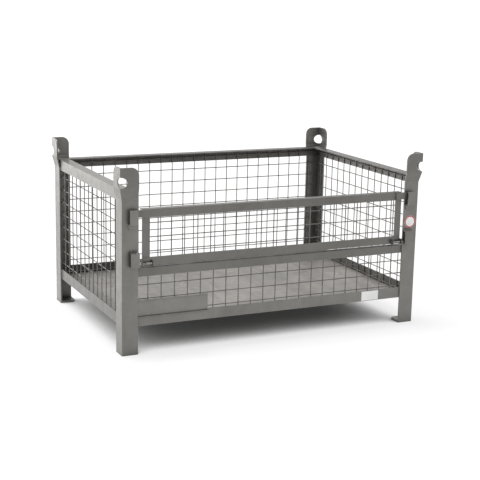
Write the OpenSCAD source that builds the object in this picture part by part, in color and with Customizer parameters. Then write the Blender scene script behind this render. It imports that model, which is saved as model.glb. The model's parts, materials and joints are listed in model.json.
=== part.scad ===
// Stacking wire mesh container with a lift-and-fold front gate.
// Millimetres, +Z up, origin on the ground at the centre of the footprint.
// The gate is on the -Y side; the long side runs along X.

/* [Container] */
// Outer length over the posts, along X
length = 1200; // [1000:10:1400]
// Outer width over the posts, along Y
width = 800; // [700:10:1000]
// Height of the top of the upper rim
rim_top = 586; // [560:2:700]
// Height of the underside of the floor frame, the fork clearance
fork_clear = 102; // [90:1:130]

/* [Posts and feet] */
// Flange width of the corner post angle
post_w = 60; // [50:1:70]
// Thickness of the corner post angle
post_t = 5; // [4:0.5:6]
// Thickness of a foot plate
foot_t = 8; // [6:0.5:10]
// Corner radius of a foot plate
foot_r = 15; // [8:1:20]

/* [Stacking catches] */
// How far below the top of the rim a post ends and its catch begins
catch_seat = 30; // [20:1:38]
// Height of a catch above the top of its post
catch_h = 112; // [100:1:125]
// Height over which the catch leans outwards
catch_lean_h = 40; // [30:1:50]
// How far the catch stands outside the post
catch_out = 9; // [6:0.5:12]
// Radius of the rounded upper corner of each catch flange
catch_r = 28; // [15:1:34]
// Radius of the crane eye through the catch
eye_r = 19; // [14:0.5:22]
// Height of the crane eye above the foot of the catch
eye_up = 60; // [52:1:68]

/* [Rails] */
// Height of the rim angle and of the floor frame angle
rail_h = 40; // [36:1:46]
// Width of the level flange of those angles
rail_w = 40; // [36:1:46]
// Thickness of those angles
rail_t = 4; // [3:0.5:5]
// Height of the lighter angle of the gate and of the middle rail
bar_h = 30; // [26:1:34]
// Width of the level flange of the lighter angle
bar_w = 25; // [20:1:30]
// Thickness of the lighter angle
bar_t = 3; // [2.5:0.25:4]

/* [Floor] */
// Thickness of the floor sheet
sheet_t = 2; // [1.5:0.25:3]
// Gap between the edge of the floor sheet and the floor frame
sheet_gap = 1; // [0.5:0.25:3]
// Width of a floor bearer
bearer_w = 40; // [30:1:60]
// Depth of the upright leg of a floor bearer
bearer_leg = 22; // [16:1:26]
// Distance from the end of a bearer to the start of its upright leg
bearer_cut = 45; // [30:5:80]
// Spacing of the floor bearers
bearer_step = 300; // [260:5:380]

/* [Mesh] */
// Pitch of the mesh, wire to wire
pitch = 50; // [40:1:60]
// Diameter of a mesh wire
wire_d = 3.5; // [3:0.25:5]
// How deep two crossing wires are welded into each other
weld = 0.5; // [0.3:0.1:0.8]
// Clearance between a mesh and the frame that carries it
mesh_gap = 0.2; // [0.1:0.05:0.4]
// How far the mesh wires reach past the edge of a post flange
mesh_lap = 30; // [15:1:35]
// Height of the lowest level wire of the walls above the ground
wire_low = 116; // [114:1:125]
// How much higher the lowest level wire of the front mesh is
front_wire_up = 33; // [25:1:38]

/* [Gate] */
// Top of the gate above the ground
gate_top = 520; // [500:1:530]
// Height of the gate
gate_h = 200; // [180:1:220]
// Gap between the gate and each post
gate_gap = 14; // [9:0.5:16]
// Width of the flat upright bar at each end of the gate
stile_w = 26; // [20:1:30]
// Gap under the closed gate
gate_under = 9; // [7:0.5:12]
// Gap between the face of the posts and the arms and gate face
gate_front_gap = 0.5; // [0.3:0.1:1]
// Thickness of the arm that drops into the cup
arm_t = 6; // [5:0.5:7]
// Height of the arm
arm_h = 26; // [22:1:28]
// How far the arm's top edge is below the top of the gate
arm_drop = 1; // [0:0.5:3]
// How far the arm reaches over the post
arm_reach = 18; // [14:1:22]
// How far the gate lifts before it swings out
lift = 31; // [30:1:36]
// Distance from the upright bar of the gate to its first upright wire
gate_wire_in = 34.5; // [20:0.5:45]
// How far the level wires of the gate stop short of its ends
gate_wire_end = 8; // [4:0.5:15]

/* [Gate pivots] */
// Radius of the pivot pin
pin_r = 5; // [4:0.25:6]
// Radius of the thinner end of the pin that turns in the lug
pin_neck_r = 4; // [3:0.25:4.5]
// Radius of the riveted head of the pin
pin_head_r = 5.4; // [4.5:0.1:5.6]
// Thickness of the riveted head
pin_head_t = 3; // [2:0.25:4]
// How far the pin reaches over the post
pin_reach = 24; // [18:1:28]
// Radial clearance of the pin in its lug and in its bracket
pin_gap = 0.3; // [0.2:0.05:0.6]
// Height of the pin above the lower edge of the gate
pin_up = 9; // [8:0.5:12]
// Thickness of the hinge lug
lug_t = 4; // [3:0.25:5]
// Radius of the rounded end of the hinge lug
lug_r = 9.5; // [8:0.5:12]
// Length of the hinge lug beside the gate stile
lug_hold = 18; // [12:1:22]
// Distance of the inner hinge ear from the end of the gate
ear_in = 35; // [20:1:45]
// Thickness of the inner hinge ear
ear_t = 3; // [2:0.5:5]

/* [Straps on the posts] */
// Inside depth of a strap, from the post to the strap
strap_gap = 15; // [12:0.5:17]
// Thickness of a strap
strap_t = 4; // [3:0.25:5]
// Width of the upper strap
cup_w = 30; // [26:1:36]
// Distance of the upper strap from the free edge of the post
cup_edge = 6; // [4:1:12]
// Height of the pocket below the arm
cup_below = 20; // [14:1:26]
// How far the upper strap stands above the top of the closed gate
cup_over = 2; // [0:0.5:4]
// Height of the strap foot that is welded to the post
cup_foot = 21; // [14:1:26]
// Width of the lower strap
slot_w = 32; // [28:1:42]
// Distance of the lower strap from the free edge of the post
slot_edge = 0.5; // [0:0.5:6]
// How much the upper leg of the lower strap rises towards the post
slot_rise = 8; // [5:1:16]

/* [Plates] */
// Length of the card plate at the lower left of the front
card_w = 266; // [200:1:300]
// Height of the card plate
card_h = 62; // [50:1:80]
// Thickness of the card plate and its lips
card_t = 1.5; // [1:0.25:2]
// Depth of the lips
card_lip = 6; // [4:0.5:8]
// How far the card plate reaches down over the floor frame
card_drop = 6; // [4:0.5:12]
// Gap between the card plate and the post beside it
card_gap = 0.5; // [0.2:0.1:2]
// Length of the blank data label
label_w = 74; // [60:1:90]
// Height of the blank data label
label_h = 36; // [28:1:38]
// Thickness of the data label and the round sticker
label_t = 0.6; // [0.4:0.1:1]
// Distance of the label from the right-hand post
label_in = 96; // [80:1:120]
// Radius of the round sticker
sticker_r = 24; // [18:0.5:27]
// Gap between the lower strap and the round sticker above it
sticker_gap = 1.2; // [0.5:0.1:20]

/* [Hidden] */

half_l = length / 2;
half_w = width / 2;
// level at which the posts end and the catches begin
post_top = rim_top - catch_seat;
// the rails lie against the inner faces of the post flanges
rail_x = half_l - post_t;
rail_y = half_w - post_t;
floor_z = fork_clear + rail_t;
// first layer of wires, against the rails, and second layer, welded on the first
wire_r = wire_d / 2;
wire_in_1 = rail_t + mesh_gap + wire_r;
wire_in_2 = wire_in_1 + wire_d - weld;
// gate: front face, ends, levels
gate_y = -half_w - gate_front_gap;
gate_x = half_l - post_w - gate_gap;
gate_low = gate_top - gate_h;
mid_top = gate_low - gate_under;
mid_low = mid_top - bar_h;
// pivot pin: axis in front of the posts, centred in the straps
pin_y = -half_w - strap_gap / 2;
pin_z = gate_low + pin_up;
pin_end_x = half_l - post_w + pin_reach;
slot_low = pin_z - pin_r - pin_gap;
slot_high = pin_z + lift + pin_r + pin_gap;
lug_x = gate_x + mesh_gap;
ear_x = gate_x - ear_in - ear_t;
slot_top = slot_high + strap_t + slot_rise;
sticker_z = slot_top + sticker_gap + sticker_r;
// mesh of the gate
gate_wire_n = floor((2 * gate_x - 2 * stile_w - gate_wire_in) / pitch);
fine = 48;

painted = "dimgray";
bright = "silver";

// ---- shared shapes ------------------------------------------------------

// repeats its children at a corner: sx and sy are the signs of X and Y there
module at_corner(sx, sy) {
    mirror([sx > 0 ? 1 : 0, 0, 0]) mirror([0, sy > 0 ? 1 : 0, 0])
        translate([-half_l, -half_w, 0]) children();
}

// mirrors its children to the right-hand side where side is 1
module at_side(side) {
    mirror([side > 0 ? 1 : 0, 0, 0]) children();
}

// angle profile in the XY plane, heel at the origin
module angle_profile(a, b, t) {
    difference() {
        square([a, b]);
        translate([t, t]) square([a, b]);
    }
}

// mitred angle rail along X: outer face on y = 0, heel at z = 0 when up is true,
// heel at the top when up is false; the level flange points to +Y
module mitred_rail(len, h, w, t, up) {
    intersection() {
        rotate([90, 0, 90]) linear_extrude(height = len)
            translate([0, up ? 0 : h]) mirror([0, up ? 0 : 1]) angle_profile(w, h, t);
        linear_extrude(height = h)
            polygon([[0, 0], [len, 0], [len - w, w], [w, w]]);
    }
}

// straight angle rail along X with square ends
module plain_rail(len, h, w, t) {
    rotate([90, 0, 90]) linear_extrude(height = len)
        translate([0, h]) mirror([0, 1]) angle_profile(w, h, t);
}

// one straight wire from the origin along Z
module wire(len) {
    cylinder(h = len, r = wire_r, $fn = fine);
}

// welded panel in the XZ plane: uprights nearest y = 0, level wires behind them
// xs and zs are the places of the wires
module mesh_panel(xs, zs, x0, x1, z0, z1) {
    union() {
        for (x = xs) translate([x, wire_in_1, z0]) wire(z1 - z0);
        for (z = zs) translate([x0, wire_in_2, z]) rotate([0, 90, 0]) wire(x1 - x0);
    }
}

// places of wires on a pitch, symmetrical about 0, within reach
function centred(reach) = [for (i = [-floor(reach / pitch):floor(reach / pitch)]) i * pitch];
// places of wires upwards from the lowest one, below a limit
function upwards(low, limit) = [for (z = [low:pitch:limit]) z];

// ---- posts, feet and catches --------------------------------------------

module post(sx, sy) {
    color(painted) at_corner(sx, sy) translate([0, 0, foot_t])
        linear_extrude(height = post_top - foot_t) angle_profile(post_w, post_w, post_t);
}

module foot(sx, sy) {
    color(painted) at_corner(sx, sy) linear_extrude(height = foot_t) union() {
        square([post_w, post_w - foot_r]);
        square([post_w - foot_r, post_w]);
        translate([post_w - foot_r, post_w - foot_r]) circle(r = foot_r, $fn = fine);
    }
}

// upright outline of one catch face, seen square on, with its rounded free corner
module catch_outline(start) {
    union() {
        translate([start, 0]) square([post_w - start, catch_h - catch_r]);
        translate([start, 0]) square([post_w - start - catch_r, catch_h]);
        translate([post_w - catch_r, catch_h - catch_r]) circle(r = catch_r, $fn = fine);
    }
}

// section of the leaning catch, as a half space that starts at its outer face
module lean_section(inset) {
    far = post_w + catch_out;
    polygon([[inset, 0], [inset - catch_out, catch_lean_h], [inset - catch_out, catch_h],
        [far, catch_h], [far, 0]]);
}

// prism whose two outer faces lean outwards together
module leaning_block(inset) {
    far = 2 * post_w;
    intersection() {
        translate([0, far, 0]) rotate([90, 0, 0])
            linear_extrude(height = 2 * far) lean_section(inset);
        translate([-far, 0, 0]) rotate([90, 0, 90])
            linear_extrude(height = 2 * far) lean_section(inset);
    }
}

module catch_body(sx, sy) {
    far = 2 * post_w;
    color(painted) at_corner(sx, sy) translate([0, 0, post_top]) difference() {
        intersection() {
            difference() {
                leaning_block(0);
                leaning_block(post_t);
            }
            translate([0, far, 0]) rotate([90, 0, 0])
                linear_extrude(height = 2 * far) catch_outline(-catch_out);
            translate([-far, 0, 0]) rotate([90, 0, 90])
                linear_extrude(height = 2 * far) catch_outline(-catch_out);
        }
        // crane eye, drilled through the corner on the diagonal
        translate([0, 0, eye_up]) rotate([0, 0, 45]) rotate([0, 90, 0])
            translate([0, 0, -far]) cylinder(h = 2 * far, r = eye_r, $fn = fine);
    }
}

// ---- floor frame, rim and middle rail -----------------------------------

module floor_rail_x(sy) {
    color(painted) mirror([0, sy > 0 ? 1 : 0, 0])
        translate([-rail_x, -rail_y, fork_clear]) mitred_rail(2 * rail_x, rail_h, rail_w, rail_t, true);
}

module floor_rail_y(sx) {
    color(painted) mirror([sx > 0 ? 1 : 0, 0, 0])
        translate([-rail_x, rail_y, fork_clear]) rotate([0, 0, -90])
            mitred_rail(2 * rail_y, rail_h, rail_w, rail_t, true);
}

module rim_back() {
    color(painted) mirror([0, 1, 0])
        translate([-rail_x, -rail_y, rim_top - rail_h])
            mitred_rail(2 * rail_x, rail_h, rail_w, rail_t, false);
}

// the rim's side rails are mitred at the back and cut square at the front
module rim_side(sx) {
    color(painted) mirror([sx > 0 ? 1 : 0, 0, 0])
        translate([-rail_x, rail_y, rim_top - rail_h]) rotate([0, 0, -90]) union() {
            mitred_rail(2 * rail_y, rail_h, rail_w, rail_t, false);
            translate([rail_y, 0, 0]) plain_rail(rail_y, rail_h, rail_w, rail_t);
        }
}

module middle_rail() {
    color(painted) translate([-rail_x, -rail_y, mid_low])
        plain_rail(2 * rail_x, bar_h, bar_w, bar_t);
}

// ---- meshes -------------------------------------------------------------

wall_z0 = floor_z + sheet_t + mesh_gap;
wall_z1 = rim_top - rail_t - mesh_gap;
wall_zs = upwards(wire_low, wall_z1 - wire_d);
front_z1 = mid_top - bar_t - mesh_gap;
long_reach = half_l - post_w + mesh_lap;
short_reach = half_w - post_w + mesh_lap;

module back_mesh() {
    color(bright) mirror([0, 1, 0]) translate([0, -rail_y, 0])
        mesh_panel(centred(long_reach - wire_d), wall_zs,
            -long_reach, long_reach, wall_z0, wall_z1);
}

module side_mesh(sx) {
    color(bright) mirror([sx > 0 ? 1 : 0, 0, 0]) translate([-rail_x, 0, 0]) rotate([0, 0, -90])
        mesh_panel(centred(short_reach - wire_d), wall_zs,
            -short_reach, short_reach, wall_z0, wall_z1);
}

module front_mesh() {
    color(bright) translate([0, -rail_y, 0])
        mesh_panel(centred(long_reach - wire_d), upwards(wire_low + front_wire_up, front_z1 - wire_d),
            -long_reach, long_reach, wall_z0, front_z1);
}

// ---- floor --------------------------------------------------------------

module sheet() {
    x = rail_x - rail_t - sheet_gap;
    y = rail_y - rail_t - sheet_gap;
    color(bright) translate([-x, -y, floor_z]) cube([2 * x, 2 * y, sheet_t]);
}

// angle across the width, flush with the flanges it is welded to; its upright leg
// hangs down and is cut back at the ends, so that it doesn't show below the rails
module bearer(place) {
    y = rail_y - rail_w;
    foot_y = y - bearer_cut;
    color(painted) translate([place * bearer_step, 0, fork_clear]) union() {
        translate([-bearer_w / 2, -y, 0]) cube([bearer_w, 2 * y, rail_t]);
        translate([-bearer_w / 2, 0, 0]) rotate([90, 0, 90]) linear_extrude(height = rail_t)
            polygon([[-foot_y, rail_t], [foot_y, rail_t], [foot_y, 0],
                [foot_y - bearer_leg, -bearer_leg], [bearer_leg - foot_y, -bearer_leg], [-foot_y, 0]]);
    }
}

// ---- plates -------------------------------------------------------------

// plate for cards with a bent lip along its top and its bottom, left bare
module card() {
    x = -half_l + post_w + card_gap;
    z0 = fork_clear + rail_h - card_drop;
    color(painted) translate([x, -rail_y - card_t, z0]) union() {
        cube([card_w, card_t, card_h]);
        for (z = [0, card_h - card_t]) translate([0, -card_lip, z]) cube([card_w, card_lip, card_t]);
    }
}

module label() {
    color("white") translate([half_l - post_w - label_in - label_w, -rail_y - label_t,
        fork_clear + (rail_h - label_h) / 2]) cube([label_w, label_t, label_h]);
}

module sticker() {
    color("white") translate([half_l - post_w / 2, -half_w, sticker_z]) rotate([90, 0, 0])
        cylinder(h = label_t, r = sticker_r, $fn = fine);
}

// ---- straps on the posts ------------------------------------------------

// open strap that the gate arm drops into; side view, post face at x = 0
module cup_profile() {
    out = strap_gap + strap_t;
    low = gate_top - arm_h - cup_below;
    union() {
        translate([0, low - cup_foot]) square([strap_t, cup_foot]);
        translate([0, low - strap_t]) square([out, strap_t]);
        translate([strap_gap, low - strap_t]) square([strap_t, gate_top + cup_over - low + strap_t]);
    }
}

module cup(side) {
    color(painted) at_side(side)
        translate([-half_l + post_w - cup_edge - cup_w, -half_w, 0]) rotate([90, 0, 90])
            mirror([1, 0, 0]) linear_extrude(height = cup_w) cup_profile();
}

// closed strap that the pivot pin slides in; side view, post face at x = 0; its upper
// leg rises towards the post
module slot_profile() {
    out = strap_gap + strap_t;
    union() {
        translate([0, slot_low - strap_t]) square([out, strap_t]);
        translate([strap_gap, slot_low - strap_t]) square([strap_t, slot_high - slot_low + 2 * strap_t]);
        polygon([[0, slot_top - strap_t], [strap_gap, slot_high], [out, slot_high],
            [out, slot_high + strap_t], [strap_gap, slot_high + strap_t], [0, slot_top]]);
    }
}

module bracket(side) {
    color(painted) at_side(side)
        translate([-half_l + post_w - slot_edge - slot_w, -half_w, 0]) rotate([90, 0, 90])
            mirror([1, 0, 0]) linear_extrude(height = slot_w) slot_profile();
}

// ---- pivot pins ---------------------------------------------------------

// shouldered pin: thick in the bracket, thin through lug and ear, riveted over at its end
module pivot_pin(side) {
    shoulder_x = -lug_x - lug_t - pin_gap;
    head_x = -ear_x + pin_gap;
    color(bright) at_side(side) translate([0, pin_y, pin_z]) rotate([0, 90, 0]) union() {
        translate([0, 0, -pin_end_x]) cylinder(h = pin_end_x + shoulder_x, r = pin_r, $fn = fine);
        translate([0, 0, shoulder_x]) cylinder(h = head_x - shoulder_x, r = pin_neck_r, $fn = fine);
        translate([0, 0, head_x]) cylinder(h = pin_head_t, r = pin_head_r, $fn = fine);
    }
}

// ---- gate ---------------------------------------------------------------

// gate angles with their front faces on gate_y and their level flanges along the outer edges
module gate_rail_x(top) {
    color(painted) translate([-gate_x, gate_y, top ? gate_top - bar_h : gate_low])
        rotate([90, 0, 90]) linear_extrude(height = 2 * gate_x)
            translate([0, top ? bar_h : 0]) mirror([0, top ? 1 : 0])
                angle_profile(bar_w, bar_h, bar_t);
}

// flat bar between the upright flanges of the two gate angles
module gate_stile(side) {
    color(painted) at_side(side) translate([-gate_x, gate_y, gate_low + bar_h])
        cube([stile_w, bar_t, gate_h - 2 * bar_h]);
}

// flat bar on the face of the gate, with a round end over the post
module gate_arm(side) {
    x0 = half_l - post_w + arm_reach;
    x1 = gate_x - stile_w;
    z = gate_top - arm_h / 2 - arm_drop;
    color(painted) at_side(side) translate([0, gate_y, z]) rotate([90, 0, 0])
        linear_extrude(height = arm_t) union() {
            translate([-x0 + arm_h / 2, -arm_h / 2]) square([x0 - x1 - arm_h / 2, arm_h]);
            translate([-x0 + arm_h / 2, 0]) circle(r = arm_h / 2, $fn = fine);
        }
}

// plate of the gate that a pivot pin passes through, in front of the posts; its free
// end is round about the pin and its back edge is straight
module pin_plate(side, x, t, back_y) {
    color(painted) at_side(side) translate([-x, 0, 0]) rotate([0, -90, 0])
        linear_extrude(height = t) difference() {
            union() {
                translate([pin_z - lug_r, pin_y]) square([2 * lug_r, back_y - pin_y]);
                intersection() {
                    translate([pin_z, pin_y]) circle(r = lug_r, $fn = fine);
                    translate([pin_z - lug_r, pin_y - lug_r]) square([2 * lug_r, lug_r]);
                }
            }
            translate([pin_z, pin_y]) circle(r = pin_neck_r + pin_gap, $fn = fine);
        }
}

module gate_panel() {
    first = -gate_x + stile_w + gate_wire_in;
    xs = [for (i = [0:gate_wire_n]) first + i * pitch];
    mid = gate_top - gate_h / 2;
    reach = gate_x - gate_wire_end;
    color(bright) translate([0, gate_y - rail_t + bar_t, 0])
        mesh_panel(xs, [mid - pitch, mid, mid + pitch],
            -reach, reach, gate_low + bar_t + mesh_gap, gate_top - bar_t - mesh_gap);
}

// ---- nodes --------------------------------------------------------------

module post_front_left() { post(-1, -1); }
module post_front_right() { post(1, -1); }
module post_back_left() { post(-1, 1); }
module post_back_right() { post(1, 1); }
module catch_front_left() { catch_body(-1, -1); }
module catch_front_right() { catch_body(1, -1); }
module catch_back_left() { catch_body(-1, 1); }
module catch_back_right() { catch_body(1, 1); }
module foot_front_left() { foot(-1, -1); }
module foot_front_right() { foot(1, -1); }
module foot_back_left() { foot(-1, 1); }
module foot_back_right() { foot(1, 1); }
module floor_rail_front() { floor_rail_x(-1); }
module floor_rail_back() { floor_rail_x(1); }
module floor_rail_left() { floor_rail_y(-1); }
module floor_rail_right() { floor_rail_y(1); }
module rim_rail_back() { rim_back(); }
module rim_rail_left() { rim_side(-1); }
module rim_rail_right() { rim_side(1); }
module middle_rail_front() { middle_rail(); }
module mesh_back() { back_mesh(); }
module mesh_left() { side_mesh(-1); }
module mesh_right() { side_mesh(1); }
module mesh_front() { front_mesh(); }
module floor_sheet() { sheet(); }
module floor_bearer_left() { bearer(-1); }
module floor_bearer_centre() { bearer(0); }
module floor_bearer_right() { bearer(1); }
module card_plate() { card(); }
module data_label() { label(); }
module round_sticker() { sticker(); }
module arm_cup_left() { cup(-1); }
module arm_cup_right() { cup(1); }
module pin_bracket_left() { bracket(-1); }
module pin_bracket_right() { bracket(1); }
module pivot_pin_left() { pivot_pin(-1); }
module pivot_pin_right() { pivot_pin(1); }
module gate_top_rail() { gate_rail_x(true); }
module gate_bottom_rail() { gate_rail_x(false); }
module gate_stile_left() { gate_stile(-1); }
module gate_stile_right() { gate_stile(1); }
module gate_arm_left() { gate_arm(-1); }
module gate_arm_right() { gate_arm(1); }
module gate_lug_left() { pin_plate(-1, lug_x, lug_t, gate_y + lug_hold); }
module gate_lug_right() { pin_plate(1, lug_x, lug_t, gate_y + lug_hold); }
module gate_ear_left() { pin_plate(-1, ear_x, ear_t, gate_y); }
module gate_ear_right() { pin_plate(1, ear_x, ear_t, gate_y); }
module gate_mesh() { gate_panel(); }

post_front_left();
post_front_right();
post_back_left();
post_back_right();
catch_front_left();
catch_front_right();
catch_back_left();
catch_back_right();
foot_front_left();
foot_front_right();
foot_back_left();
foot_back_right();
floor_rail_front();
floor_rail_back();
floor_rail_left();
floor_rail_right();
rim_rail_back();
rim_rail_left();
rim_rail_right();
middle_rail_front();
mesh_back();
mesh_left();
mesh_right();
mesh_front();
floor_sheet();
floor_bearer_left();
floor_bearer_centre();
floor_bearer_right();
card_plate();
data_label();
round_sticker();
arm_cup_left();
arm_cup_right();
pin_bracket_left();
pin_bracket_right();
pivot_pin_left();
pivot_pin_right();
gate_top_rail();
gate_bottom_rail();
gate_stile_left();
gate_stile_right();
gate_arm_left();
gate_arm_right();
gate_lug_left();
gate_lug_right();
gate_ear_left();
gate_ear_right();
gate_mesh();
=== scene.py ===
import json
import math
import random

import bpy
from mathutils import Matrix, Vector


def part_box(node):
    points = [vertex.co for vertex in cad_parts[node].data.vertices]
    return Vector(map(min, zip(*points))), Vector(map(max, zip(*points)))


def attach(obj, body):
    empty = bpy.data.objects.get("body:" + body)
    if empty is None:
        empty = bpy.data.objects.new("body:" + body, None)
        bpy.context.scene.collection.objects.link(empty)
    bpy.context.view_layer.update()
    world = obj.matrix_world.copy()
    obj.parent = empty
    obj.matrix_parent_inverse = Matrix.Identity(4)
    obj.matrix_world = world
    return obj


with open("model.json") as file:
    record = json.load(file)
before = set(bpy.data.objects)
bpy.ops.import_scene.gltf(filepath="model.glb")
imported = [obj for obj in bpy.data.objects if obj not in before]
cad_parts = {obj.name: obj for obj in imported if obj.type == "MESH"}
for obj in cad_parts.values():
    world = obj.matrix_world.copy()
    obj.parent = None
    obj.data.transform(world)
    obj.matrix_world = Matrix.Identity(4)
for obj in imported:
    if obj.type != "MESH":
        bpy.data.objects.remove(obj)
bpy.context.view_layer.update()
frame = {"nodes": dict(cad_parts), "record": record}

NODES = frame["nodes"]
MM = 0.001
random.seed(7)


# ---- material graphs ----------------------------------------------------

class Graph:
    """A node material with short calls for the nodes used here."""

    def __init__(self, name):
        self.mat = bpy.data.materials.new(name)
        self.mat.use_nodes = True
        self.tree = self.mat.node_tree
        self.tree.nodes.clear()
        self.out = self.tree.nodes.new("ShaderNodeOutputMaterial")
        self.bsdf = self.tree.nodes.new("ShaderNodeBsdfPrincipled")
        self.link(self.bsdf.outputs[0], self.out.inputs["Surface"])
        self.place = self.node("ShaderNodeTexCoord").outputs["Object"]

    def node(self, kind, **props):
        n = self.tree.nodes.new(kind)
        for key, value in props.items():
            setattr(n, key, value)
        return n

    def link(self, a, b):
        self.tree.links.new(a, b)

    def put(self, socket, value):
        if isinstance(value, bpy.types.NodeSocket):
            self.link(value, socket)
        elif isinstance(value, (tuple, list)) and len(value) == 3 and socket.type == "RGBA":
            socket.default_value = (*value, 1.0)
        else:
            socket.default_value = value

    def stretch(self, scale, turn=(0, 0, 0), shift=(0, 0, 0)):
        """Object coordinates turned first and scaled after, so that marks can lie at an angle."""
        spin = self.node("ShaderNodeMapping")
        self.link(self.place, spin.inputs["Vector"])
        spin.inputs["Rotation"].default_value = turn
        m = self.node("ShaderNodeMapping")
        self.link(spin.outputs[0], m.inputs["Vector"])
        m.inputs["Scale"].default_value = scale
        m.inputs["Location"].default_value = shift
        return m.outputs[0]

    def noise(self, scale, detail=3.0, rough=0.5, vector=None, distortion=0.0):
        n = self.node("ShaderNodeTexNoise")
        self.link(vector or self.place, n.inputs["Vector"])
        n.inputs["Scale"].default_value = scale
        n.inputs["Detail"].default_value = detail
        n.inputs["Roughness"].default_value = rough
        n.inputs["Distortion"].default_value = distortion
        return n.outputs["Fac"]

    def ramp(self, fac, low, high, a=0.0, b=1.0):
        n = self.node("ShaderNodeMapRange")
        n.clamp = True
        n.interpolation_type = "SMOOTHSTEP"
        self.put(n.inputs["Value"], fac)
        for key, value in (("From Min", low), ("From Max", high), ("To Min", a), ("To Max", b)):
            self.put(n.inputs[key], value)
        return n.outputs[0]

    def math(self, op, a, b=0.0):
        n = self.node("ShaderNodeMath", operation=op)
        self.put(n.inputs[0], a)
        self.put(n.inputs[1], b)
        return n.outputs[0]

    def mix(self, fac, a, b, blend="MIX"):
        n = self.node("ShaderNodeMix", data_type="RGBA", blend_type=blend)
        self.put(n.inputs[0], fac)
        self.put(n.inputs[6], a)
        self.put(n.inputs[7], b)
        return n.outputs[2]

    def edges(self, radius):
        """1 on edges and 0 on flats, from the turn of a rounded normal."""
        bevel = self.node("ShaderNodeBevel", samples=4)
        bevel.inputs["Radius"].default_value = radius
        flat = self.node("ShaderNodeNewGeometry").outputs["Normal"]
        dot = self.node("ShaderNodeVectorMath", operation="DOT_PRODUCT")
        self.link(bevel.outputs[0], dot.inputs[0])
        self.link(flat, dot.inputs[1])
        return self.ramp(dot.outputs["Value"], 0.80, 0.995, 1.0, 0.0)

    def crevice(self, distance):
        """1 in corners and 0 in the open, from ambient occlusion: the mask for painted shade."""
        ao = self.node("ShaderNodeAmbientOcclusion", samples=6)
        ao.inputs["Distance"].default_value = distance
        return self.ramp(ao.outputs["AO"], 0.25, 0.95, 1.0, 0.0)

    def bump(self, height, distance, strength=1.0, base=None):
        n = self.node("ShaderNodeBump")
        n.inputs["Distance"].default_value = distance
        n.inputs["Strength"].default_value = strength
        self.link(height, n.inputs["Height"])
        if base is not None:
            self.link(base, n.inputs["Normal"])
        return n.outputs[0]

    def finish(self, colour, roughness, normal=None, metallic=None, **fixed):
        self.put(self.bsdf.inputs["Base Color"], colour)
        self.put(self.bsdf.inputs["Roughness"], roughness)
        if normal is not None:
            self.link(normal, self.bsdf.inputs["Normal"])
        if metallic is not None:
            self.put(self.bsdf.inputs["Metallic"], metallic)
        for key, value in fixed.items():
            self.bsdf.inputs[key.replace("_", " ")].default_value = value
        return self.mat


def tint(colour, k):
    return tuple(min(1.0, c * k) for c in colour)


PAINT = (0.158, 0.153, 0.143)
BARE = (0.30, 0.29, 0.275)
RUST = (0.16, 0.085, 0.045)
# darkest tone, used for soiling and for painted shade in corners and creases
SHADE_AND_GRIME = (0.042, 0.038, 0.033)


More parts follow.
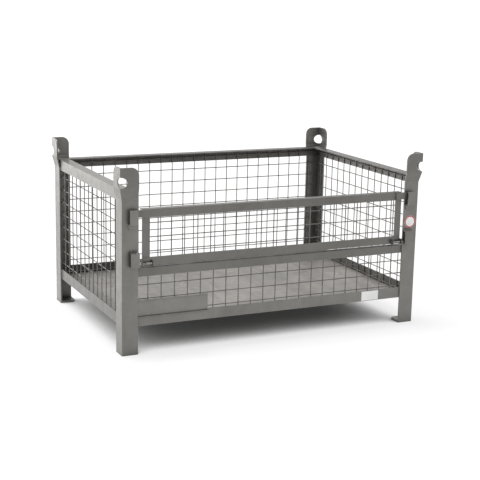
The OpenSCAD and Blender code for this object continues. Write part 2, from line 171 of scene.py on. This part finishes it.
def painted(name, colour=PAINT, worn=1.0, shade_and_grime=0.70, reach=0.035):
    """Worn grey paint over rolled steel, with soiling and painted shade in its corners; reach is how
    far from a corner that painted shade and soiling begin.
    """
    g = Graph(name)
    broad = g.ramp(g.noise(4.0, 3, 0.55), 0.32, 0.68)
    mottle = g.ramp(g.noise(55.0, 5, 0.6), 0.35, 0.68)
    col = g.mix(broad, tint(colour, 0.90), tint(colour, 1.08))
    col = g.mix(g.math("MULTIPLY", mottle, 0.22), col, tint(colour, 1.22))
    # dull smears that run down
    smear = g.ramp(g.noise(1.0, 4, 0.6, g.stretch((46, 46, 5))), 0.55, 0.78)
    col = g.mix(g.math("MULTIPLY", smear, 0.30), col, tint(colour, 0.66))
    # short scuffs in three directions, each with its own shift of the noise
    marks = None
    for turn, shift in (((0, 0, 0), 0.3), ((0.5, 0.2, 0.9), 5.1), ((0.1, 1.2, 0.4), 9.7)):
        line = g.noise(1.0, 2, 0.5, g.stretch((9, 420, 420), turn, (shift, 0, 0)))
        where = g.stretch((1, 1, 1), (0, 0, 0), (shift, 2, 0))
        patch = g.ramp(g.noise(7.0, 2, 0.5, where), 0.52, 0.66)
        one = g.math("MULTIPLY", g.ramp(line, 0.66, 0.74), patch)
        marks = one if marks is None else g.math("MAXIMUM", marks, one)
    col = g.mix(g.math("MULTIPLY", marks, 0.42 * worn), col, tint(BARE, 0.95))
    # rubbed edges, broken up by noise
    edge = g.edges(0.0022)
    rub = g.math("MULTIPLY", edge, g.ramp(g.noise(38.0, 4, 0.65), 0.40, 0.60))
    col = g.mix(g.math("MULTIPLY", rub, 0.75 * worn), col, BARE)
    # rust freckles near the worn places
    spot = g.ramp(g.noise(95.0, 3, 0.6), 0.66, 0.74)
    near = g.ramp(g.noise(9.0, 3, 0.6), 0.52, 0.70)
    freckle = g.math("MULTIPLY", spot, near)
    col = g.mix(g.math("MULTIPLY", freckle, 0.55 * worn), col, RUST)
    # painted shade in the corners, from ambient occlusion, mixed with soiling
    shade_and_dirt = g.math("MULTIPLY", g.crevice(reach), g.ramp(g.noise(24.0, 3, 0.6), 0.25, 0.75, 0.45, 1.0))
    shade_and_dirt = g.math("MULTIPLY", shade_and_dirt, shade_and_grime)
    col = g.mix(shade_and_dirt, col, SHADE_AND_GRIME)
    rough = g.ramp(g.noise(30.0, 4, 0.6), 0.3, 0.7, 0.33, 0.47)
    rough = g.math("ADD", rough, g.math("MULTIPLY", shade_and_dirt, 0.18))
    rough = g.math("SUBTRACT", rough, g.math("MULTIPLY", marks, 0.08))
    skin = g.bump(g.noise(260.0, 3, 0.6), 0.00035, 0.35)
    wave = g.bump(g.noise(18.0, 2, 0.5), 0.0009, 0.30, skin)
    cut = g.bump(g.math("SUBTRACT", 0.0, marks), 0.0002, 0.5, wave)
    metal = g.ramp(g.noise(16.0, 3, 0.6), 0.3, 0.7, 0.62, 0.74)
    metal = g.math("SUBTRACT", metal, g.math("MULTIPLY", shade_and_dirt, 0.3))
    return g.finish(col, rough, cut, metal, Specular_IOR_Level=0.5)


def wire_material():
    """Drawn wire under the same thin grey paint, rubbed bright on its crowns."""
    g = Graph("wire_grey")
    base = (0.105, 0.101, 0.094)
    col = g.mix(g.ramp(g.noise(12.0, 3, 0.6), 0.35, 0.65), tint(base, 0.82), tint(base, 1.25))
    col = g.mix(g.math("MULTIPLY", g.ramp(g.noise(120.0, 3, 0.6), 0.56, 0.72), 0.6), col, BARE)
    col = g.mix(g.math("MULTIPLY", g.ramp(g.noise(70.0, 3, 0.6), 0.66, 0.76), 0.5), col, RUST)
    rough = g.ramp(g.noise(80.0, 3, 0.6), 0.3, 0.7, 0.38, 0.58)
    drawn = g.bump(g.noise(420.0, 2, 0.5), 0.0003, 0.4)
    return g.finish(col, rough, drawn, 0.25, Specular_IOR_Level=0.5)


# scratches on the floor sheet: turn, shift of the noise, frequency across and along the scratch
DRAG_MARKS = (
    (0.22, 0.0, 95, 2.6), (1.05, 3.7, 120, 4.5), (-0.42, 8.2, 80, 3.4),
    (0.06, 12.9, 110, 1.9), (1.45, 17.3, 100, 3.8), (-0.95, 21.1, 140, 5.5),
)
SCRATCHED = (0.40, 0.39, 0.365)


def sheet_material():
    """Rolled floor sheet with faint rolling lines along X, scratched and smeared by goods."""
    g = Graph("floor_sheet_steel")
    base = (0.200, 0.189, 0.176)
    broad = g.ramp(g.noise(3.0, 4, 0.6), 0.30, 0.70)
    col = g.mix(broad, tint(base, 0.78), tint(base, 1.18))
    roll = g.ramp(g.noise(1.0, 3, 0.6, g.stretch((1.6, 75, 75))), 0.38, 0.66)
    col = g.mix(g.math("MULTIPLY", roll, 0.26), col, tint(base, 1.22))
    drag = None
    for turn, shift, across, along in DRAG_MARKS:
        stretched = g.stretch((along, across, across), (0, 0, turn), (shift, 0, 0))
        line = g.noise(1.0, 3, 0.6, stretched, 0.15)
        where = g.stretch((1, 1, 1), (0, 0, 0), (shift, 1, 0))
        patch = g.ramp(g.noise(4.6, 3, 0.6, where), 0.48, 0.72)
        one = g.math("MULTIPLY", g.ramp(line, 0.56, 0.74), patch)
        drag = one if drag is None else g.math("MAXIMUM", drag, one)
    col = g.mix(g.math("MULTIPLY", drag, 0.42), col, SCRATCHED)
    stain = g.ramp(g.noise(6.5, 5, 0.65, None, 0.6), 0.52, 0.72)
    col = g.mix(g.math("MULTIPLY", stain, 0.50), col, tint(base, 0.48))
    # long dull smears where goods were slid in over the front
    smear = g.ramp(g.noise(1.0, 4, 0.65, g.stretch((3.0, 26, 26), (0, 0, -1.45))), 0.48, 0.70)
    col = g.mix(g.math("MULTIPLY", smear, 0.40), col, tint(base, 0.50))
    # painted shade: broad darker bands from front to back, standing in for the shading of a sheet
    # sagged between its bearers
    shade_band = g.ramp(g.noise(1.0, 2, 0.5, g.stretch((8.5, 0.9, 1.0))), 0.42, 0.62)
    col = g.mix(g.math("MULTIPLY", shade_band, 0.40), col, tint(base, 0.66))
    specks = g.ramp(g.noise(60.0, 4, 0.65), 0.60, 0.72)
    rust = g.math("MULTIPLY", specks, g.ramp(g.noise(5.0, 3, 0.6), 0.50, 0.68))
    col = g.mix(g.math("MULTIPLY", rust, 0.55), col, RUST)
    # painted shade on the sheet next to the rails and walls, from ambient occlusion
    col = g.mix(g.math("MULTIPLY", g.crevice(0.05), 0.45), col, SHADE_AND_GRIME)
    rough = g.ramp(g.noise(14.0, 4, 0.6), 0.3, 0.7, 0.40, 0.62)
    rough = g.math("SUBTRACT", rough, g.math("MULTIPLY", drag, 0.10))
    wavy = g.bump(g.noise(7.0, 2, 0.5), 0.004, 0.25)
    fine = g.bump(g.noise(180.0, 3, 0.6), 0.0003, 0.35, wavy)
    cut = g.bump(g.math("SUBTRACT", 0.0, drag), 0.0003, 0.5, fine)
    return g.finish(col, rough, cut, 0.30, Specular_IOR_Level=0.5)


def pin_material():
    """Turned bright pin, with lathe rings and a greasy film."""
    g = Graph("turned_pin_steel")
    base = (0.26, 0.255, 0.245)
    film = g.ramp(g.noise(40.0, 4, 0.6), 0.35, 0.70)
    col = g.mix(film, tint(base, 1.15), tint(base, 0.45))
    rings = g.noise(1.0, 2, 0.5, g.stretch((1500, 3, 3)))
    col = g.mix(g.math("MULTIPLY", g.ramp(g.noise(150.0, 3, 0.6), 0.62, 0.72), 0.6), col, RUST)
    rough = g.ramp(rings, 0.3, 0.7, 0.24, 0.42)
    return g.finish(col, rough, g.bump(rings, 0.0001, 0.5), 0.9, Specular_IOR_Level=0.5)


def weld_material():
    """Painted weld bead, duller than the plate, with toes darkened by painted shade and brown specks.
    """
    g = Graph("weld_bead")
    col = g.mix(g.ramp(g.noise(90.0, 4, 0.6), 0.35, 0.65), tint(PAINT, 0.70), tint(PAINT, 1.12))
    col = g.mix(g.math("MULTIPLY", g.ramp(g.noise(160.0, 3, 0.6), 0.60, 0.72), 0.6), col, RUST)
    # painted shade at the toes of the bead, from ambient occlusion
    col = g.mix(g.math("MULTIPLY", g.crevice(0.004), 0.6), col, SHADE_AND_GRIME)
    rough = g.ramp(g.noise(200.0, 3, 0.6), 0.3, 0.7, 0.45, 0.70)
    return g.finish(col, rough, g.bump(g.noise(500.0, 3, 0.6), 0.0004, 0.5), 0.1)


def film_material(name, colour):
    """Printed film label: faint yellowing, scuffs and soiled edges."""
    g = Graph(name)
    col = g.mix(g.ramp(g.noise(25.0, 4, 0.6), 0.30, 0.75), colour, tint(colour, 0.95))
    scuff = g.ramp(g.noise(1.0, 3, 0.6, g.stretch((60, 60, 400), (0.0, 0.6, 0.0))), 0.60, 0.74)
    col = g.mix(g.math("MULTIPLY", scuff, 0.30), col, tint(colour, 0.62))
    col = g.mix(g.math("MULTIPLY", g.edges(0.0016), 0.45), col, tint(colour, 0.55))
    rough = g.ramp(g.noise(50.0, 3, 0.6), 0.3, 0.7, 0.36, 0.54)
    return g.finish(col, rough, g.bump(g.noise(90.0, 3, 0.6), 0.0003, 0.3))


FILM_WHITE = (0.93, 0.93, 0.92)
RING_RED = (0.50, 0.045, 0.035)

# darker copies of the paint: the gate's own paint is darker; the catches' darker paint is a painted
# shade for the dull reflection they catch; all rails but rim_rail_left and floor_rail_front are
# darkened throughout by painted shade of their inner faces; the gate and all rails get deeper painted
# shade in their corners, reaching further on the rails
MATS = {
    "frame_steel": painted("grey_paint"),
    "gate": painted("gate_paint", tint(PAINT, 0.78), shade_and_grime=1.0),
    "rail": painted("rail_paint", PAINT, shade_and_grime=1.0, reach=0.09),
    "shade_darkened_rail": painted("shade_darkened_rail_paint", tint(PAINT, 0.70), shade_and_grime=1.0, reach=0.09),
    "catch": painted("shade_darkened_catch_paint", tint(PAINT, 0.88)),
    "card": painted("card_plate_paint", tint(PAINT, 1.04), 0.8),
    "seam": painted("seam_paint", tint(PAINT, 1.05), 0.3, 0.0),
    "wire_steel": wire_material(),
    "sheet_steel": sheet_material(),
    "pin_steel": pin_material(),
    "weld": weld_material(),
    "label_white": film_material("label_film", FILM_WHITE),
    "sticker_white": film_material("sticker_film", FILM_WHITE),
    "ring_red": film_material("sticker_ring_red", RING_RED),
}

SLOT_OF = {row["node"]: row["material_slot"] for row in frame["record"]["subparts"]}


def dress(obj, mat):
    obj.data.materials.clear()
    obj.data.materials.append(mat)


def soften(obj, width):
    """Rounds the sharp edges of a CAD piece so that they catch light."""
    m = obj.modifiers.new("soft_edges", "BEVEL")
    m.width = width
    m.segments = 2
    m.limit_method = "ANGLE"
    m.angle_limit = math.radians(40)
    m.harden_normals = True


def finish_of(node_name):
    """The entry of MATS for a CAD node: its own slot, or a shade of the frame's paint."""
    slot = SLOT_OF[node_name]
    if slot != "frame_steel":
        return slot
    if node_name == "card_plate":
        return "card"
    if node_name.startswith(("gate_", "middle_")):
        return "gate"
    if node_name in ("rim_rail_left", "floor_rail_front"):
        return "rail"
    # these rails take a darker paint, a painted shade of their shaded inner faces
    if node_name.startswith(("rim_rail", "floor_rail")):
        return "shade_darkened_rail"
    # the catches take a darker paint, a painted shade for their dull reflection
    if node_name.startswith("catch_"):
        return "catch"
    return slot


ANGLE_EDGE, PLATE_EDGE, PIN_EDGE = 0.7 * MM, 0.3 * MM, 0.8 * MM

for node_name, obj in NODES.items():
    dress(obj, MATS[finish_of(node_name)])
    if node_name == "card_plate":
        soften(obj, PLATE_EDGE)
    elif SLOT_OF[node_name] == "frame_steel":
        soften(obj, ANGLE_EDGE)
    elif SLOT_OF[node_name] == "pin_steel":
        soften(obj, PIN_EDGE)


# ---- weld beads -----------------------------------------------------------

def new_piece(name, verts, faces, mat, body, smooth=True):
    mesh = bpy.data.meshes.new(name)
    mesh.from_pydata([tuple(v) for v in verts], [], faces)
    mesh.validate()
    mesh.update()
    if smooth:
        mesh.shade_smooth()
    obj = bpy.data.objects.new(name, mesh)
    bpy.context.scene.collection.objects.link(obj)
    dress(obj, mat)
    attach(obj, body)
    return obj


SIDES = 8
RIPPLE = 2.2 * MM
STEP = 0.75 * MM


def bead(verts, faces, a, b, out, r, flat):
    """One rippled weld bead from a to b, its crown towards out; appended to verts and faces."""
    a, b, out = Vector(a), Vector(b), Vector(out).normalized()
    run = b - a
    length = run.length
    run.normalize()
    side = run.cross(out).normalized()
    steps = max(6, int(length / STEP))
    phase = random.random() * 6.28
    first = len(verts)
    for i in range(steps + 1):
        t = i / steps
        s = t * length
        wave = 0.10 * math.sin(2 * math.pi * s / RIPPLE + phase)
        wave += 0.06 * math.sin(s / (7 * MM) + phase)
        # both ends taper off in a quarter circle
        short = max(0.0, 1 - min(s, length - s) / (1.3 * r))
        end = min(1.0, math.sqrt(max(0.0, 1 - short ** 2)) + 0.12)
        rad = r * (1 + wave) * end
        shift = side * (0.10 * r * math.sin(s / (5 * MM) + 2 * phase))
        for k in range(SIDES):
            ang = 2 * math.pi * k / SIDES
            lift = math.sin(ang)
            # the back of each ripple trails in a curve, as on a real bead
            trail = -0.35 * RIPPLE * (1 - abs(math.cos(ang))) * (1 if 0 < i < steps else 0)
            along = a + run * (s + trail) + shift
            verts.append(along + side * (math.cos(ang) * rad) + out * (lift * rad * flat))
    for i in range(steps):
        for k in range(SIDES):
            k2 = (k + 1) % SIDES
            p, q = first + i * SIDES, first + (i + 1) * SIDES
            faces.append((p + k, p + k2, q + k2, q + k))
    faces.append(tuple(first + k for k in reversed(range(SIDES))))
    faces.append(tuple(first + steps * SIDES + k for k in range(SIDES)))


def beads(name, runs, body, mat="weld"):
    """A piece made of several beads: (start, end, outward direction, radius, flatness), in mm."""
    verts, faces = [], []
    for a, b, out, r, flat in runs:
        bead(verts, faces, [c * MM for c in a], [c * MM for c in b], out, r * MM, flat)
    return new_piece(name, verts, faces, MATS[mat], body)


def mm_box(node):
    lo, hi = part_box(node)
    return [c / MM for c in lo], [c / MM for c in hi]


HALF_L = mm_box("post_front_right")[1][0]
HALF_W = mm_box("post_back_left")[1][1]
POST_W = HALF_L - mm_box("post_front_right")[0][0]
RAIL_X = mm_box("floor_rail_right")[1][0]
RAIL_Y = mm_box("floor_rail_back")[1][1]
POST_T = HALF_L - RAIL_X
SEAT_Z = mm_box("post_front_left")[1][2]
FOOT_Z = mm_box("foot_front_left")[1][2]
FLOOR_LO, FLOOR_HI = (corner[2] for corner in mm_box("floor_rail_front"))
RIM_LO, RIM_HI = (corner[2] for corner in mm_box("rim_rail_back"))
MID_LO, MID_HI = (corner[2] for corner in mm_box("middle_rail_front"))

# radius in mm and flatness of each kind of bead
SEAM = (3.4, 0.13)
FOOT_BEAD = (3.2, 0.8)
FOOT_END_BEAD = (2.0, 0.8)
RAIL_BEAD = (2.7, 0.85)
MIDDLE_BEAD = (2.4, 0.85)
STRAP_BEAD = (2.5, 0.8)
STRAP_SIDE_BEAD = (2.3, 0.8)
RIM_MITRE = (2.2, 0.22)
FLOOR_MITRE = (2.2, 0.3)
BEARER_TACK = (2.6, 0.45)
CARD_BEAD = (1.8, 0.8)
STILE_BEAD = (1.9, 0.3)
ARM_BEAD = (2.2, 0.8)
ARM_END_BEAD = (2.4, 0.8)
LUG_BEAD = (1.8, 0.8)

END = 2  # how far most beads stop short of the ends of their joint

for xn, sx in (("left", -1), ("right", 1)):
    for yn, sy in (("front", -1), ("back", 1)):
        x, y = sx * HALF_L, sy * HALF_W
        ix, iy = sx * (HALF_L - POST_T), sy * (HALF_W - POST_T)
        ex, ey = sx * (HALF_L - POST_W), sy * (HALF_W - POST_W)
        # seam between post and catch, ground nearly flush and painted over
        beads(f"seam_{yn}_{xn}", [
            ((x - sx * 0.6, y, SEAT_Z), (ex + sx * 0.6, y, SEAT_Z), (0, sy, 0), *SEAM),
            ((x, y - sy * 0.6, SEAT_Z), (x, ey + sy * 0.6, SEAT_Z), (sx, 0, 0), *SEAM),
        ], "frame", "seam")
        # foot plate, inside the angle
        runs = [
            ((ix - sx * END, iy, FOOT_Z), (ex + sx * END, iy, FOOT_Z), (0, -sy, 1), *FOOT_BEAD),
            ((ix, iy - sy * END, FOOT_Z), (ix, ey + sy * END, FOOT_Z), (-sx, 0, 1), *FOOT_BEAD),
            ((ex, y - sy * 0.5, FOOT_Z), (ex, iy + sy * 0.5, FOOT_Z), (-sx, 0, 1), *FOOT_END_BEAD),
        ]
        # rails against the free edges of the post flanges: (x, y) of the edge, outward
        # direction, height of the joint and kind of bead
        by_x = (ex, iy + sy * 0.3, (-sx, sy, 0))
        by_y = (ix + sx * 0.3, ey, (sx, -sy, 0))
        joints = [
            (by_x, FLOOR_LO, FLOOR_HI, RAIL_BEAD),
            (by_y, FLOOR_LO, FLOOR_HI, RAIL_BEAD),
            (by_y, RIM_LO, SEAT_Z, RAIL_BEAD),
            (by_x, RIM_LO, SEAT_Z, RAIL_BEAD) if yn == "back" else (by_x, MID_LO, MID_HI, MIDDLE_BEAD),
        ]
        for (jx, jy, out), low, high, kind in joints:
            runs.append(((jx, jy, low + END), (jx, jy, high - END), out, *kind))
        beads(f"welds_{yn}_{xn}", runs, "frame")

# straps on the front posts; the foot of the upper strap is welded on three sides
CUP_FOOT = 21
for xn, sx in (("left", -1), ("right", 1)):
    lo, hi = mm_box(f"arm_cup_{xn}")
    left, right = lo[0] + 1, hi[0] - 1
    runs = [((left, -HALF_W, lo[2]), (right, -HALF_W, lo[2]), (0, -1, -1), *STRAP_BEAD)]
    for x, out_x in ((lo[0], -1), (hi[0], 1)):
        low, high = lo[2] + END, lo[2] + CUP_FOOT - 2 * END
        runs.append(((x, -HALF_W, low), (x, -HALF_W, high), (out_x, -1, 0), *STRAP_SIDE_BEAD))
    lo, hi = mm_box(f"pin_bracket_{xn}")
    left, right = lo[0] + 1, hi[0] - 1
    for z, out_z in ((hi[2], 1), (lo[2], -1)):
        runs.append(((left, -HALF_W, z), (right, -HALF_W, z), (0, -1, out_z), *STRAP_BEAD))
    beads(f"strap_welds_{xn}", runs, "frame")

# mitres of rim and floor frame, tacks of the bearers and of the card plate
RAIL_W = RAIL_Y - mm_box("floor_bearer_left")[1][1]
TACK = 13
CARD_TACK = 16
CARD_END = 6
mitre_in, mitre_out = RAIL_W - 1, 3


def mitre(sx, sy, z, out_z, kind):
    """The bead over the mitre of two rails, from the outer corner inwards."""
    outer = (sx * (RAIL_X - mitre_out), sy * (RAIL_Y - mitre_out), z)
    inner = (sx * (RAIL_X - mitre_in), sy * (RAIL_Y - mitre_in), z)
    return (outer, inner, (0, 0, out_z), *kind)


runs = []
for sx in (-1, 1):
    runs.append(mitre(sx, 1, RIM_HI, 1, RIM_MITRE))
    for sy in (-1, 1):
        runs.append(mitre(sx, sy, FLOOR_LO, -1, FLOOR_MITRE))
for place in ("left", "centre", "right"):
    lo, hi = mm_box(f"floor_bearer_{place}")
    for y in (lo[1], hi[1]):
        for x in (lo[0] + END, hi[0] - TACK - END):
            runs.append(((x, y, FLOOR_LO), (x + TACK, y, FLOOR_LO), (0, 0, -1), *BEARER_TACK))
lo, hi = mm_box("card_plate")
card_face = -RAIL_Y - 1.2
for x in (lo[0] + CARD_END, (lo[0] + hi[0] - CARD_TACK) / 2, hi[0] - CARD_TACK - CARD_END):
    runs.append(((x, card_face, lo[2]), (x + CARD_TACK, card_face, lo[2]), (0, -1, -1), *CARD_BEAD))
beads("frame_tack_welds", runs, "frame")

# gate: butted stiles, arms and lugs
gate_end, gate_face = mm_box("gate_top_rail")[1][0], mm_box("gate_top_rail")[0][1]
stile_lo, _ = mm_box("gate_stile_right")
stile_z = stile_lo[2]
runs = []
for xn, sx in (("left", -1), ("right", 1)):
    end, inner = sx * gate_end, sx * stile_lo[0]
    runs.append(((end - sx * 1.5, gate_face, stile_z), (inner + sx, gate_face, stile_z),
                 (0, -1, 0), *STILE_BEAD))
    lo, hi = mm_box(f"gate_arm_{xn}")
    arm_end = lo[0] if sx > 0 else hi[0]
    runs.append(((arm_end + sx * END, gate_face, lo[2]), (end - sx * END, gate_face, lo[2]),
                 (0, -1, -1), *ARM_BEAD))
    runs.append(((arm_end, gate_face, lo[2] + END), (arm_end, gate_face, hi[2] - END),
                 (-sx, -1, 0), *ARM_END_BEAD))
    lo, hi = mm_box(f"gate_lug_{xn}")
    runs.append(((end, gate_face + 3, hi[2]), (end, hi[1] - 1, hi[2]), (sx, 0, 1), *LUG_BEAD))
beads("gate_welds", runs, "gate")

# ---- ring of the round sticker ----------------------------------------------

lo, hi = mm_box("round_sticker")
ring_x, ring_z, ring_y = (lo[0] + hi[0]) / 2, (lo[2] + hi[2]) / 2, lo[1]
sticker_r = (hi[0] - lo[0]) / 2
RING_STEPS = 96
RING_THICK = 0.12
outer_r, inner_r = sticker_r - 0.6, sticker_r - 5.0
profile = ((outer_r, ring_y), (outer_r, ring_y - RING_THICK),
           (inner_r, ring_y - RING_THICK), (inner_r, ring_y))
verts, faces = [], []
for i in range(RING_STEPS):
    a = 2 * math.pi * i / RING_STEPS
    for r, y in profile:
        verts.append(((ring_x + r * math.cos(a)) * MM, y * MM, (ring_z + r * math.sin(a)) * MM))
for i in range(RING_STEPS):
    p, q = 4 * i, 4 * ((i + 1) % RING_STEPS)
    for k in range(4):
        k2 = (k + 1) % 4
        faces.append((p + k, q + k, q + k2, p + k2))
new_piece("sticker_ring", verts, faces, MATS["ring_red"], "frame", smooth=False)

# ---- stage, light and camera ----------------------------------------------

FLOOR_HALF = 400
FLOOR_LIT = (0.50, 0.50, 0.50)
FLOOR_SEEN = (0.24, 0.24, 0.24)
GLOW_NEAR = 0.69
GLOW_UNDER = 0.02
SHADOW_REACH = 0.36

floor_mesh = bpy.data.meshes.new("studio_floor")
corners = [(sx * FLOOR_HALF, sy * FLOOR_HALF, 0) for sx, sy in ((-1, -1), (1, -1), (1, 1), (-1, 1))]
floor_mesh.from_pydata(corners, [], [(0, 1, 2, 3)])
floor = bpy.data.objects.new("studio_floor", floor_mesh)
bpy.context.scene.collection.objects.link(floor)


def seen_rays(g):
    """1 for camera, glossy and transmission rays, and 1 for camera rays alone."""
    path = g.node("ShaderNodeLightPath")
    shiny = g.math("MAXIMUM", path.outputs["Is Glossy Ray"], path.outputs["Is Transmission Ray"])
    camera_ray = path.outputs["Is Camera Ray"]
    return g.math("MAXIMUM", camera_ray, shiny), camera_ray


stage = Graph("studio_floor")
stage.tree.nodes.remove(stage.bsdf)
seen, camera_ray = seen_rays(stage)
diffuse = stage.node("ShaderNodeBsdfDiffuse")
stage.link(stage.mix(camera_ray, FLOOR_LIT, FLOOR_SEEN), diffuse.inputs["Color"])
# painted shadow: the floor's glow fades where the object stands close above it, and rises far away,
# where the lamps reach it less
open_sky = stage.node("ShaderNodeAmbientOcclusion", samples=16)
open_sky.inputs["Distance"].default_value = SHADOW_REACH
shade = stage.ramp(open_sky.outputs["AO"], 0.10, 0.50, GLOW_UNDER, 1.0)
far = stage.node("ShaderNodeVectorMath", operation="LENGTH")
stage.link(stage.place, far.inputs[0])
full = stage.ramp(far.outputs["Value"], 1.2, 7.0, GLOW_NEAR, 1.0)
glow = stage.node("ShaderNodeEmission")
stage.link(stage.math("MULTIPLY", stage.math("MULTIPLY", seen, full), shade), glow.inputs["Strength"])
add = stage.node("ShaderNodeAddShader")
stage.link(diffuse.outputs[0], add.inputs[0])
stage.link(glow.outputs[0], add.inputs[1])
stage.link(add.outputs[0], stage.out.inputs["Surface"])
floor.data.materials.append(stage.mat)

# the eye and reflections see a white studio; its light on the object is softer at the front
FILL_FRONT, FILL_BACK = 0.84, 0.92
BACKWARDS = (-0.42, 0.90, 0.10)
world = bpy.data.worlds.new("studio")
bpy.context.scene.world = world
world.use_nodes = True
sky = Graph.__new__(Graph)
sky.tree = world.node_tree
sky.tree.nodes.clear()
toward = sky.node("ShaderNodeVectorMath", operation="DOT_PRODUCT")
sky.link(sky.node("ShaderNodeTexCoord").outputs["Generated"], toward.inputs[0])
toward.inputs[1].default_value = BACKWARDS
fill = sky.ramp(toward.outputs["Value"], -0.90, 0.60, FILL_FRONT, FILL_BACK)
seen, _ = seen_rays(sky)
backdrop = sky.node("ShaderNodeBackground")
backdrop.inputs["Color"].default_value = (1, 1, 1, 1)
sky.link(sky.math("MAXIMUM", seen, fill), backdrop.inputs["Strength"])
sky.link(backdrop.outputs[0], sky.node("ShaderNodeOutputWorld").inputs["Surface"])


def area(name, place, target, size, power, colour=(1, 1, 1)):
    data = bpy.data.lights.new(name, "AREA")
    data.shape = "RECTANGLE"
    data.size, data.size_y = size
    data.energy = power
    data.color = colour
    obj = bpy.data.objects.new(name, data)
    obj.location = place
    obj.rotation_euler = (Vector(target) - Vector(place)).to_track_quat("-Z", "Y").to_euler()
    bpy.context.scene.collection.objects.link(obj)
    obj.visible_camera = False


area("key_left", (-4.6, 0.9, 1.9), (0, 0, 0.3), (2.4, 2.0), 115, (1.0, 0.985, 0.965))
area("top", (-0.5, 0.7, 4.3), (0, 0, 0.3), (2.6, 2.0), 170)
area("back_left", (-2.9, 4.6, 0.9), (-0.2, 0, 0.35), (4.0, 2.4), 95)

cam_data = bpy.data.cameras.new("camera")
cam = bpy.data.objects.new("camera", cam_data)
bpy.context.scene.collection.objects.link(cam)
YAW, PITCH, ROLL = math.radians(25.95), math.radians(12.48), math.radians(1.35)
CAM_PLACE = (-1.8997, -4.0989, 1.2963)
level = math.cos(PITCH)
forward = Vector((math.sin(YAW) * level, math.cos(YAW) * level, -math.sin(PITCH)))
right0 = Vector((math.cos(YAW), -math.sin(YAW), 0))
up0 = right0.cross(forward)
right = right0 * math.cos(ROLL) + up0 * math.sin(ROLL)
up = up0 * math.cos(ROLL) - right0 * math.sin(ROLL)
cam.matrix_world = Matrix.Translation(CAM_PLACE) @ Matrix((
    (right.x, up.x, -forward.x, 0),
    (right.y, up.y, -forward.y, 0),
    (right.z, up.z, -forward.z, 0),
    (0, 0, 0, 1)))
cam_data.sensor_fit = "HORIZONTAL"
cam_data.sensor_width = 36
cam_data.lens = 87.46
cam_data.shift_x = -0.0275
cam_data.shift_y = -0.0031
cam_data.clip_end = 2000
bpy.context.scene.camera = cam
bpy.context.scene.view_settings.view_transform = "Standard"
